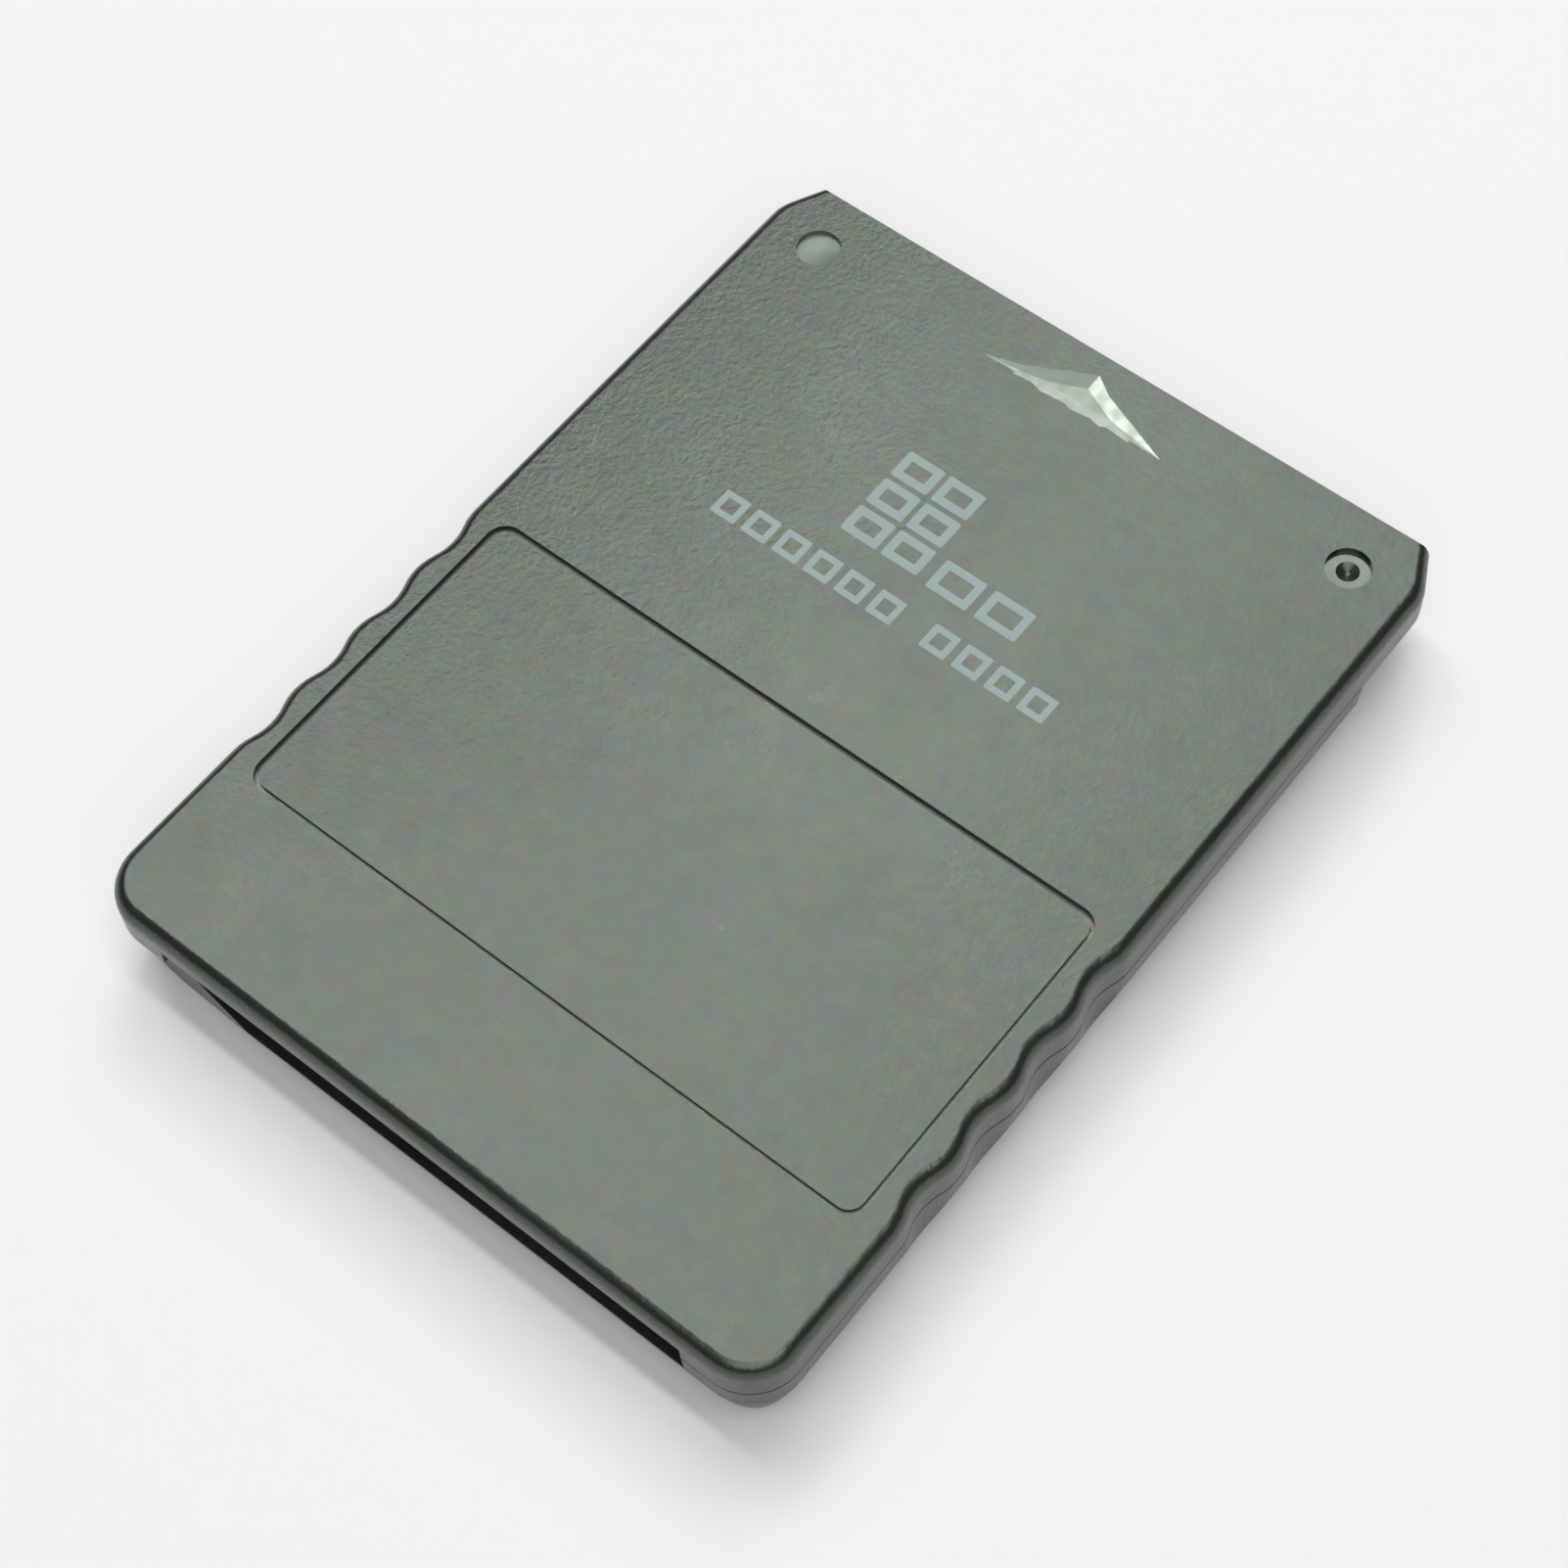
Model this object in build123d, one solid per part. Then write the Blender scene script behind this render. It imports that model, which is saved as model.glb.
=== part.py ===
from build123d import *
import os
from math import asin, cos, pi, sin

os.makedirs("parts", exist_ok=True)

# Console memory card, closed and lying on its back. Millimetres, +Z up through the printed face,
# +Y toward the end that goes into the console, +X to the right, origin under the middle of the back.

# Whole card
card_width = 42.4
card_length = 56.6
card_thickness = 7.2
corner_radius = 2.9            # corners of the end that is held
lead_in_width = 1.2            # the insertion corners slant in by this much on each side
lead_in_length = 2.3
lead_in_blend = 2.5            # rounding between the slant and the long side

# Two half shells
parting_height = 4.7           # where the two halves meet
front_panel = 1.2
back_panel = 1.2
side_wall = 1.8
user_end_wall = 2.8
mouth_wall = 1.5               # wall at the insertion end
cavity_corner = 1.2
rim_round_width = 0.75         # the top edge rounds over an upright quarter ellipse, this wide
rim_round_height = 0.95
rim_round_steps = 5
end_edge_round = 0.1           # top edge of the insertion end
seam_depth = 0.15              # fine line that shows where the halves meet
seam_height = 0.12
lip_height = 0.8               # rim of the back shell that locates the front shell
lip_thickness = 0.6
lip_clearance = 0.1

# Foot and shoulders of the back shell
back_draft = 0.1               # the back shell's sides draw in by this much down to the foot
foot_height = 2.9              # and more sharply below this height
foot_inset = 0.82              # at the top of the bevel
foot_edge = 0.35               # bevel round the back face
shoulder_length = 6.4          # narrow part of the back at the insertion end
shoulder_inset = 1.5
shoulder_slant = 1.2
relief_length = 10.5           # slanting cut at the left corner of the held end
relief_depth = 1.3

# Finger grips along both long sides
grip_waves = 4
grip_pitch = 4.61
grip_depth = 0.42
grip_from_user_end = 10.2

# Finger groove across the held end
groove_width = 33.0
groove_above_parting = 1.0
groove_below_parting = 1.5
groove_depth = 1.5

# Printed face
label_width = 38.66
label_length = 19.67
label_corner = 1.15
label_from_user_end = 9.26
label_depth = 0.12
label_line_width = 0.26        # fine groove round the label field
label_line_depth = 0.38
arrow_width = 11.5
arrow_length = 2.55
arrow_bow = 0.2                # how far the base edge curves out
arrow_tip_from_end = 1.33
arrow_depth = 0.08
arrow_base_slope = 0.55        # how far the floor lies from the base edge
arrow_floor_scale = 0.38
dimple_spacing = 34.6
dimple_from_end = 3.58
dimple_diameter = 2.5
dimple_depth = 0.32
dimple_dish = 0.12             # the left dimple's floor is slightly hollow
dimple_pit_diameter = 1.25     # the right dimple has a pointed pit in its floor
dimple_pit_depth = 0.35

# Circuit board and what carries it
board_clearance = 0.9          # to the rim beside it and to the screw boss behind it
board_thickness = 1.0
board_standoff = 2.2
board_gap = 0.1                # between the board and the contact block
board_corner = 1.0
post_diameter = 3.2
post_from_board_edge = 2.6
post_from_contacts = 0.6       # between the contact tails and the posts behind them
pin_diameter = 1.5
pin_height = 0.6               # above the board
pin_clearance = 0.15

# Contacts, in bays of three, two and three
bay_contacts = (3, 2, 3)
contact_pitch = 3.0
contact_width = 1.9
contact_thickness = 0.3
contact_setback = 0.3          # from the front of the block
contact_tail = 2.2             # length soldered under the board
contact_nose = 0.12            # rounding of the front end
bay_margin = 0.5
bay_rib_width = 1.8
block_length = 6.0
block_margin = 0.6
block_clearance = 0.15
fence_width = 0.5
fence_height = 0.4
locating_tab_width = 3.0
locating_tab_thickness = 0.8
locating_tab_height = 1.0
locating_tab_from_mouth = 1.2

# Case screw
screw_from_user_end = 7.0
screw_diameter = 2.0
screw_length = 4.0
screw_head_diameter = 3.8
screw_head_height = 1.1
screw_head_bevel = 0.35
screw_point = 0.65
screw_head_recess = 0.3        # below the back face
screw_head_clearance = 0.3
screw_fit = 0.05
screw_slot_width = 0.55
screw_slot_length = 2.2
screw_slot_depth = 0.6
boss_wall = 1.1
boss_top = 3.6

# Parts under the board
solder_gap = 0.1
lead_thickness = 0.15
lead_foot = 0.55
lead_reach = 1.0
lead_width = 0.32
controller_size = 10.0
controller_height = 1.4
controller_leads_per_side = 11
controller_lead_pitch = 0.8
controller_x = -5.5
flash_width = 18.4
flash_length = 10.2
flash_height = 1.0
flash_leads_per_side = 22
flash_lead_pitch = 0.8
flash_from_board_back = 12.0
chip_gap = 0.9                 # between the two rows of leads that face each other
chip_edge = 0.2
reset_width = 2.9
reset_length = 1.3
reset_height = 0.95
reset_lead_pitch = 0.95
reset_from_board_side = 9.3
capacitor_size = (2.0, 1.25, 0.85)
capacitor_pitch = 3.4
capacitor_count = 3
capacitor_from_chip = 3.4
resistor_size = (1.6, 0.8, 0.45)
resistor_pitch = 2.0
resistor_count = 4
resistor_from_chip = 3.2

# Places worked out from the sizes above
half_width = card_width / 2
half_length = card_length / 2
front_floor = card_thickness - front_panel
board_bottom = back_panel + board_standoff
board_top = board_bottom + board_thickness
block_front = half_length - mouth_wall - block_clearance
block_back = block_front - block_length
screw_y = -half_length + screw_from_user_end
screw_head_hole = screw_head_diameter + 2 * screw_head_clearance
boss_diameter = screw_head_hole + 2 * boss_wall
board_width = card_width - 2 * (side_wall + lip_clearance + lip_thickness + board_clearance)
board_front = block_back - board_gap
board_back = screw_y + boss_diameter / 2 + board_clearance
board_length = board_front - board_back
board_middle = (board_front + board_back) / 2
bay_widths = [(n - 1) * contact_pitch + contact_width + 2 * bay_margin for n in bay_contacts]
mouth_width = sum(bay_widths) + (len(bay_contacts) - 1) * bay_rib_width
chip_top = board_bottom - solder_gap


def bay_centres():
    """Middle of each bay of the mouth, from left to right."""
    centres = []
    left = -mouth_width / 2
    for width in bay_widths:
        centres.append(left + width / 2)
        left += width + bay_rib_width
    return centres


def contact_places():
    """Middle of each contact, from left to right."""
    places = []
    for centre, count in zip(bay_centres(), bay_contacts):
        for k in range(count):
            places.append(centre + (k - (count - 1) / 2) * contact_pitch)
    return places


def slab(sketch, bottom, top):
    """A plan shape raised from one height to another."""
    return Pos(0, 0, bottom) * extrude(sketch, top - bottom)


def block(x0, x1, y0, y1, bottom, top):
    """A plain box between two corners."""
    return Pos((x0 + x1) / 2, (y0 + y1) / 2, (bottom + top) / 2) * Box(x1 - x0, y1 - y0, top - bottom)


def rod(x, y, diameter, bottom, top):
    """An upright cylinder."""
    return Pos(x, y, (bottom + top) / 2) * Cylinder(diameter / 2, top - bottom)


def outline(inset, end_inset):
    """Plan of the card without its grips: slanted insertion corners and rounded held corners."""
    w = half_width - inset
    end = half_length - end_inset
    back = inset - half_length
    tip = w - lead_in_width
    heel = end - lead_in_length
    right_side = [(tip, end), (w, heel), (w, back)]
    left_side = [(-w, back), (-w, heel), (-tip, end)]
    plan = make_face(Polyline(*right_side, *left_side, close=True))
    corners = plan.vertices().sort_by(Axis.Y)
    plan = fillet(corners[:2], corner_radius - inset)
    heels = [v for v in plan.vertices() if abs(v.Y - heel) < 1e-6]
    return fillet(heels, lead_in_blend)


def grip_cut(inset):
    """What the grip waves take off the right-hand side: tangent arcs, hollow then round."""
    x = half_width - inset
    radius = (grip_depth ** 2 + grip_pitch ** 2 / 4) / (4 * grip_depth)
    turn = asin(grip_pitch / 4 / radius)
    end_y = -half_length + grip_from_user_end
    start_y = end_y + grip_waves * grip_pitch
    crest_x = x - radius + radius * cos(turn / 2)
    crest_dy = radius * sin(turn / 2)
    middle_x = x - grip_depth / 2
    outside = x + corner_radius
    edges = [ThreePointArc((x, start_y), (crest_x, start_y - crest_dy), (middle_x, start_y - grip_pitch / 4))]
    for k in range(grip_waves):
        valley_y = start_y - (k + 0.5) * grip_pitch
        low = (middle_x, valley_y - grip_pitch / 4)
        edges.append(ThreePointArc((middle_x, valley_y + grip_pitch / 4), (x - grip_depth, valley_y), low))
        if k < grip_waves - 1:
            ridge_y = valley_y - grip_pitch / 2
            edges.append(ThreePointArc(low, (x, ridge_y), (middle_x, ridge_y - grip_pitch / 4)))
    edges.append(ThreePointArc((middle_x, end_y + grip_pitch / 4), (crest_x, end_y + crest_dy), (x, end_y)))
    edges.append(Polyline((x, end_y), (outside, end_y), (outside, start_y), (x, start_y)))
    return make_face(edges)


def card_plan(inset, end_inset):
    """Plan of the card with the grip waves in both long sides."""
    cut = grip_cut(inset)
    return outline(inset, end_inset) - cut - mirror(cut, about=Plane.YZ)


def cavity_plan(inset):
    """Plan of the hollow inside both shells, narrow between the shoulders."""
    w = half_width - side_wall - inset
    top = half_length - mouth_wall - inset
    bottom = -half_length + user_end_wall + inset
    narrow = w - shoulder_inset
    neck = half_length - shoulder_length - shoulder_slant - inset
    body = Rectangle(2 * w, neck - bottom, align=(Align.CENTER, Align.MIN))
    body = Pos(0, bottom) * fillet(body.vertices(), cavity_corner)
    throat = Rectangle(2 * narrow, top - bottom - cavity_corner, align=(Align.CENTER, Align.MAX))
    return body + Pos(0, top) * throat


def shoulder_cuts(extra):
    """The two strips that the back shell lacks beside its insertion end, with slanted shoulders."""
    inner = half_width - shoulder_inset - extra
    neck = half_length - shoulder_length
    far = half_width + corner_radius
    run = far - inner
    strip = make_face(Polyline(
        (inner, half_length + corner_radius), (inner, neck),
        (far, neck - shoulder_slant * run / shoulder_inset),
        (far, half_length + corner_radius), close=True))
    return strip + mirror(strip, about=Plane.YZ)


def back_plan(inset, height):
    """Plan of the back shell, inset all round, at a height."""
    plan = outline(inset, inset) - shoulder_cuts(inset)
    return Pos(0, 0, height) * plan.face()


def finger_groove():
    """The slot under the front shell's edge at the held end."""
    half = groove_width / 2
    return block(-half, half, -half_length - corner_radius, -half_length + groove_depth,
                 parting_height - groove_below_parting, parting_height + groove_above_parting)


def post_places():
    """Middles of the four posts that hold the board."""
    x = board_width / 2 - post_from_board_edge
    front = board_front - contact_tail - post_from_contacts - post_diameter / 2
    back = board_back + post_from_board_edge
    return [(-x, front), (x, front), (x, back), (-x, back)]


def pin_places():
    """Two of the posts, across a diagonal, carry locating pins."""
    return post_places()[::2]


def label_field():
    """Shallow field for a label, with a fine groove round it."""
    y = -half_length + label_from_user_end + label_length / 2
    field = Pos(0, y) * RectangleRounded(label_width, label_length, label_corner)
    line = label_line_width
    inner = Pos(0, y) * RectangleRounded(label_width - 2 * line, label_length - 2 * line, label_corner - line)
    floor = slab(field, card_thickness - label_depth, card_thickness)
    return floor + slab(field - inner, card_thickness - label_line_depth, card_thickness)


def arrow_sketch(scale, base_offset):
    """Arrowhead that points to the insertion end, with its base moved in from the full arrow's."""
    half = arrow_width / 2 * scale
    base_y = half_length - arrow_tip_from_end - arrow_length + base_offset
    tip_y = base_y + arrow_length * scale
    edges = [
        ThreePointArc((-half, base_y), (0, base_y - arrow_bow * scale), (half, base_y)),
        Polyline((half, base_y), (0, tip_y), (-half, base_y)),
    ]
    return make_face(edges)


def arrow_recess():
    """Sunk arrow with three sloping sides and a small flat floor."""
    mouth = Pos(0, 0, card_thickness) * arrow_sketch(1.0, 0)
    floor = Pos(0, 0, card_thickness - arrow_depth) * arrow_sketch(arrow_floor_scale, arrow_base_slope)
    return loft([floor, mouth], ruled=True)


def dimples():
    """Two round dimples near the insertion corners, the left one dished and the right one with a pit."""
    y = half_length - dimple_from_end
    x = dimple_spacing / 2
    floor = card_thickness - dimple_depth
    left = rod(-x, y, dimple_diameter, floor, card_thickness)
    dish_radius = (dimple_diameter ** 2 / 4 + dimple_dish ** 2) / (2 * dimple_dish)
    ball = Pos(-x, y, floor + dish_radius - dimple_dish) * Sphere(dish_radius)
    left += ball & rod(-x, y, dimple_diameter, floor - dimple_dish, card_thickness)
    right = rod(x, y, dimple_diameter, floor, card_thickness)
    pit = Cone(0, dimple_pit_diameter / 2, dimple_pit_depth, align=(Align.CENTER, Align.CENTER, Align.MAX))
    return left + right + Pos(x, y, floor) * pit


def rim_sections():
    """Plans of the front shell from the parting line up, drawn in over the rounded rim."""
    sections = [card_plan(0, 0).face().moved(Pos(0, 0, parting_height))]
    for k in range(rim_round_steps + 1):
        turn = pi / 2 * k / rim_round_steps
        inset = rim_round_width * (1 - cos(turn))
        height = card_thickness - rim_round_height * (1 - sin(turn))
        end_inset = max(0, end_edge_round - (card_thickness - height))
        sections.append(card_plan(inset, end_inset).face().moved(Pos(0, 0, height)))
    return sections


def front_shell():
    """Upper half of the case: a moulded tray with a rounded rim, open downwards."""
    shell = loft(rim_sections(), ruled=True)
    shell -= slab(cavity_plan(0), parting_height, front_floor)
    for x, y in post_places():
        shell += rod(x, y, post_diameter, board_top, front_floor)
    pin_hole = pin_diameter + 2 * pin_clearance
    for x, y in pin_places():
        shell -= rod(x, y, pin_hole, board_top, board_top + pin_height + pin_clearance)
    shell += rod(0, screw_y, screw_diameter + 2 * boss_wall, boss_top, front_floor)
    shell -= rod(0, screw_y, screw_diameter + 2 * screw_fit, boss_top, screw_tip() + pin_clearance)
    shell -= finger_groove()
    shell -= label_field()
    shell -= arrow_recess()
    shell -= dimples()
    return shell


def seam_ring():
    """Fine step in the back shell's upper rim, which leaves a line between the halves."""
    around = Rectangle(card_width + corner_radius, card_length + corner_radius)
    plan = card_plan(seam_depth, seam_depth) - shoulder_cuts(seam_depth)
    return slab(around - plan, parting_height - seam_height, parting_height)


def back_body():
    """Outside of the back shell: drafted sides above a foot that draws in more, with a bevelled edge."""
    body = loft([
        back_plan(foot_inset + foot_edge, 0),
        back_plan(foot_inset, foot_edge),
        back_plan(back_draft, foot_height),
        back_plan(0, parting_height),
    ], ruled=True)
    cut = grip_cut(0)
    body -= slab(cut + mirror(cut, about=Plane.YZ), 0, parting_height)
    corner = make_face(Polyline(
        (-half_width + relief_length, -half_length), (-half_width - corner_radius, -half_length),
        (-half_width - corner_radius, -half_length + relief_depth * (1 + corner_radius / relief_length)),
        close=True))
    body -= slab(corner, 0, parting_height)
    return body - seam_ring()


def locating_rim():
    """Thin rim round the hollow of the back shell, inside the front shell's walls."""
    ring = cavity_plan(lip_clearance) - cavity_plan(lip_clearance + lip_thickness)
    open_end = half_length - shoulder_length - shoulder_slant - cavity_corner
    ring -= Pos(0, open_end) * Rectangle(card_width, card_length, align=(Align.CENTER, Align.MIN))
    return slab(ring, back_panel, parting_height + lip_height)


def mouth_windows():
    """Openings of the contact mouth through the end wall, one for each bay."""
    windows = []
    for centre, width in zip(bay_centres(), bay_widths):
        windows.append(block(centre - width / 2, centre + width / 2, half_length - mouth_wall - lip_thickness,
                             half_length + corner_radius, back_panel, parting_height))
    return windows


def back_shell():
    """Lower half of the case, with the mouth, the ribs between its bays, the posts and the screw boss."""
    shell = back_body()
    shell -= slab(cavity_plan(0), back_panel, parting_height)
    shell += locating_rim()
    for window in mouth_windows():
        shell -= window
    rib_back = block_front - block_length
    for centre, width in zip(bay_centres()[:-1], bay_widths):
        rib_left = centre + width / 2
        shell += block(rib_left, rib_left + bay_rib_width, rib_back, half_length - mouth_wall, back_panel,
                       board_bottom)
    for side in (-1, 1):
        tab_x = side * (mouth_width / 2 + locating_tab_from_mouth + locating_tab_width / 2)
        tab_y = half_length - mouth_wall - lip_clearance - locating_tab_thickness
        shell += block(tab_x - locating_tab_width / 2, tab_x + locating_tab_width / 2, tab_y,
                       tab_y + locating_tab_thickness, back_panel, parting_height + locating_tab_height)
    for x, y in post_places():
        shell += rod(x, y, post_diameter, back_panel, board_bottom)
    for x, y in pin_places():
        shell += rod(x, y, pin_diameter, board_bottom, board_top + pin_height)
    shell += rod(0, screw_y, boss_diameter, back_panel, boss_top)
    shell -= rod(0, screw_y, screw_head_hole, 0, head_seat())
    shell -= rod(0, screw_y, screw_diameter + 2 * screw_head_clearance, 0, boss_top)
    shell -= finger_groove()
    return shell


def head_seat():
    """Height of the ledge that the screw head pulls on."""
    return screw_head_recess + screw_head_height


def screw_tip():
    """Height of the point of the screw."""
    return head_seat() + screw_length


def case_screw():
    """Self-tapping screw with a bevelled head and a cross slot, driven in from the back."""
    head = rod(0, screw_y, screw_head_diameter, screw_head_recess, head_seat())
    head = chamfer(head.edges().sort_by(Axis.Z)[0], screw_head_bevel)
    shank = rod(0, screw_y, screw_diameter, head_seat(), screw_tip())
    shank = chamfer(shank.edges().sort_by(Axis.Z)[-1], screw_point)
    screw = head + shank
    long = screw_slot_length / 2
    short = screw_slot_width / 2
    top = screw_head_recess + screw_slot_depth
    screw -= block(-long, long, screw_y - short, screw_y + short, 0, top)
    screw -= block(-short, short, screw_y - long, screw_y + long, 0, top)
    return screw


def circuit_board():
    """Glass-epoxy board with rounded corners and two locating holes."""
    plan = Pos(0, board_middle) * RectangleRounded(board_width, board_length, board_corner)
    board = slab(plan, board_bottom, board_top)
    for x, y in pin_places():
        board -= rod(x, y, pin_diameter + 2 * pin_clearance, board_bottom, board_top)
    return board


def contact_block():
    """Carrier above the contacts, with a fence between neighbours."""
    half = mouth_width / 2 + block_margin
    carrier = block(-half, half, block_back, block_front, board_bottom, front_floor)
    carrier = chamfer(carrier.edges().filter_by(Axis.X).sort_by(Axis.Y)[-2:], block_clearance)
    for centre, count in zip(bay_centres(), bay_contacts):
        for k in range(count - 1):
            x = centre + (k + 1 - count / 2) * contact_pitch
            carrier += block(x - fence_width / 2, x + fence_width / 2, block_back,
                             block_front - contact_setback, board_bottom - fence_height, board_bottom)
    return carrier


def contact(x):
    """Flat gold-plated strip under the block, its tail soldered under the board."""
    strip = block(x - contact_width / 2, x + contact_width / 2, board_front - contact_tail,
                  block_front - contact_setback, board_bottom - contact_thickness, board_bottom)
    nose = strip.edges().filter_by(Axis.X).group_by(Axis.Y)[-1].sort_by(Axis.Z)[0]
    return fillet(nose, contact_nose)


def package(x, y, width, length, height):
    """Moulded chip body hanging under the board, with bevelled edges."""
    body = block(x - width / 2, x + width / 2, y - length / 2, y + length / 2, chip_top - height, chip_top)
    return chamfer(body.edges().group_by(Axis.Z)[0], chip_edge)


def lead_row(count, pitch, offset, height):
    """Leads along one side of a package whose middle is at the origin, bent down to the board."""
    rise = height / 2 + solder_gap
    profile = Plane.YZ * make_face(Polyline(
        (offset, -rise), (offset + lead_reach - lead_foot, -rise),
        (offset + lead_reach - lead_foot, -lead_thickness), (offset + lead_reach, -lead_thickness),
        (offset + lead_reach, 0), (offset + lead_reach - lead_foot - lead_thickness, 0),
        (offset + lead_reach - lead_foot - lead_thickness, -rise + lead_thickness),
        (offset, -rise + lead_thickness), close=True))
    lead = Pos(-lead_width / 2, 0, board_bottom) * extrude(profile, lead_width)
    return [Pos((k - (count - 1) / 2) * pitch, 0, 0) * lead for k in range(count)]


def turned(leads, x, y, angle):
    """A row of leads turned about its package and moved to its place."""
    return [Pos(x, y, 0) * Rot(0, 0, angle) * lead for lead in leads]


def flash_place():
    return 0, board_back + flash_from_board_back


def controller_place():
    flash_front = flash_place()[1] + flash_length / 2 + lead_reach
    return controller_x, flash_front + chip_gap + lead_reach + controller_size / 2


def reset_place():
    return board_width / 2 - reset_from_board_side, controller_place()[1]


def controller_leads():
    x, y = controller_place()
    row = lead_row(controller_leads_per_side, controller_lead_pitch, controller_size / 2, controller_height)
    leads = []
    for angle in (0, 90, 180, 270):
        leads += turned(row, x, y, angle)
    return leads


def flash_leads():
    x, y = flash_place()
    row = lead_row(flash_leads_per_side, flash_lead_pitch, flash_length / 2, flash_height)
    return turned(row, x, y, 0) + turned(row, x, y, 180)


def reset_leads():
    x, y = reset_place()
    pair = lead_row(2, 2 * reset_lead_pitch, reset_length / 2, reset_height)
    single = lead_row(1, reset_lead_pitch, reset_length / 2, reset_height)
    return turned(pair, x, y, 0) + turned(single, x, y, 180)


def chip_row(size, count, pitch, x, y):
    """Small chip parts side by side, standing on the underside of the board."""
    width, length, height = size
    parts = []
    for k in range(count):
        place = x + (k - (count - 1) / 2) * pitch
        parts.append(block(place - width / 2, place + width / 2, y - length / 2, y + length / 2,
                           board_bottom - height, board_bottom))
    return parts


def capacitors():
    x, y = reset_place()
    return chip_row(capacitor_size, capacitor_count, capacitor_pitch, x, y - capacitor_from_chip)


def resistors():
    x, y = reset_place()
    return chip_row(resistor_size, resistor_count, resistor_pitch, x, y + resistor_from_chip)


pieces = {
    "front_shell": front_shell(),
    "back_shell": back_shell(),
    "circuit_board": circuit_board(),
    "contact_block": contact_block(),
    "controller_chip": package(*controller_place(), controller_size, controller_size, controller_height),
    "controller_leads": Compound(controller_leads()),
    "flash_chip": package(*flash_place(), flash_width, flash_length, flash_height),
    "flash_leads": Compound(flash_leads()),
    "reset_chip": package(*reset_place(), reset_width, reset_length, reset_height),
    "reset_leads": Compound(reset_leads()),
    "capacitors": Compound(capacitors()),
    "resistors": Compound(resistors()),
    "case_screw": case_screw(),
}
for number, place in enumerate(contact_places(), start=1):
    pieces[f"contact_{number}"] = contact(place)

for name, piece in pieces.items():
    export_step(piece, f"parts/{name}.step")
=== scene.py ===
import math
import random

import bmesh
import bpy
from mathutils import Matrix, Vector


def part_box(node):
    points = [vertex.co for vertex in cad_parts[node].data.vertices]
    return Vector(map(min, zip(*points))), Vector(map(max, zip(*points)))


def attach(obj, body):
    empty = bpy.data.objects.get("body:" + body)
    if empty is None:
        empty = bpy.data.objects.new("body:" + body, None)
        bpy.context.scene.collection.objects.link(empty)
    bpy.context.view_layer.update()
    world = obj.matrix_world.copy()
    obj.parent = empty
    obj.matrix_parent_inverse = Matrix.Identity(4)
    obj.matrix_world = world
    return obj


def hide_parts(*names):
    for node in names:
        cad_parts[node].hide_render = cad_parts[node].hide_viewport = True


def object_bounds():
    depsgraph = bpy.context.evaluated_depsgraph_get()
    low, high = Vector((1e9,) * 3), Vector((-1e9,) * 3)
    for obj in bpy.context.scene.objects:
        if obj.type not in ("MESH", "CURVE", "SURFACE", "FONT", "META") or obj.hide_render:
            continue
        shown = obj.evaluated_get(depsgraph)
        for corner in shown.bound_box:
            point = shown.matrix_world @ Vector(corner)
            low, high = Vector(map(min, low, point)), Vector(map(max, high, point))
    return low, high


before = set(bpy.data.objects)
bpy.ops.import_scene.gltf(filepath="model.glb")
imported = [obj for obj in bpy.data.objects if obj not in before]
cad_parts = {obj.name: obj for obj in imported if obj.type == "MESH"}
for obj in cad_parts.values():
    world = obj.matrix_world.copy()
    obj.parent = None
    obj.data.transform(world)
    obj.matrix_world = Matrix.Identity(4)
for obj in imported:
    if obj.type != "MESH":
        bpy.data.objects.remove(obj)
cad_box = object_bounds()


# Back shell
# Lower half of the case, charcoal ABS moulded in a spark-eroded tool, which leaves a fine dull grain.
# It carries the board on four posts, and the front shell closes over its rim.

MM = 0.001
MERGE_REACH = 0.0002 * MM              # corners of the loose triangles that lie closer are one
CREASE_ANGLE = math.radians(32)        # facets that turn by less than this belong to one curve
CREASE_REACH = 0.001 * MM              # how far the ends of an edge may lie from a crease's height
SAME_NORMAL = 0.001                    # normals that differ by less than this are one
LEVEL = 0.9999                         # upright part of the normal of a level face
FOOT_CREASES = (0.35 * MM, 2.9 * MM)   # heights at which the sides change slope
GRAIN = 0.38 * MM                      # coarser than real spark grain, so that it shows
SHEEN = "e0efde"                       # the pigment gives reflections a faint green cast
ABS_IOR = 1.82                         # over plain ABS, to match the strong sheen of the pigmented skin


def linear(code):
    """An sRGB hex colour as the linear values that Blender takes."""
    parts = [int(code[k:k + 2], 16) / 255 for k in (0, 2, 4)]
    return [c / 12.92 if c <= 0.04045 else ((c + 0.055) / 1.055) ** 2.4 for c in parts] + [1.0]


def add(tree, kind, links=None, values=None, **settings):
    """Adds a node with its settings, its socket values and the links that feed it."""
    node = tree.nodes.new(kind)
    for name, value in settings.items():
        setattr(node, name, value)
    for socket, value in (values or {}).items():
        node.inputs[socket].default_value = value
    for socket, source in (links or {}).items():
        tree.links.new(source, node.inputs[socket])
    return node


def blank_material(name):
    """A material with an empty node tree."""
    material = bpy.data.materials.new(name)
    material.use_nodes = True
    material.node_tree.nodes.clear()
    return material


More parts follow.
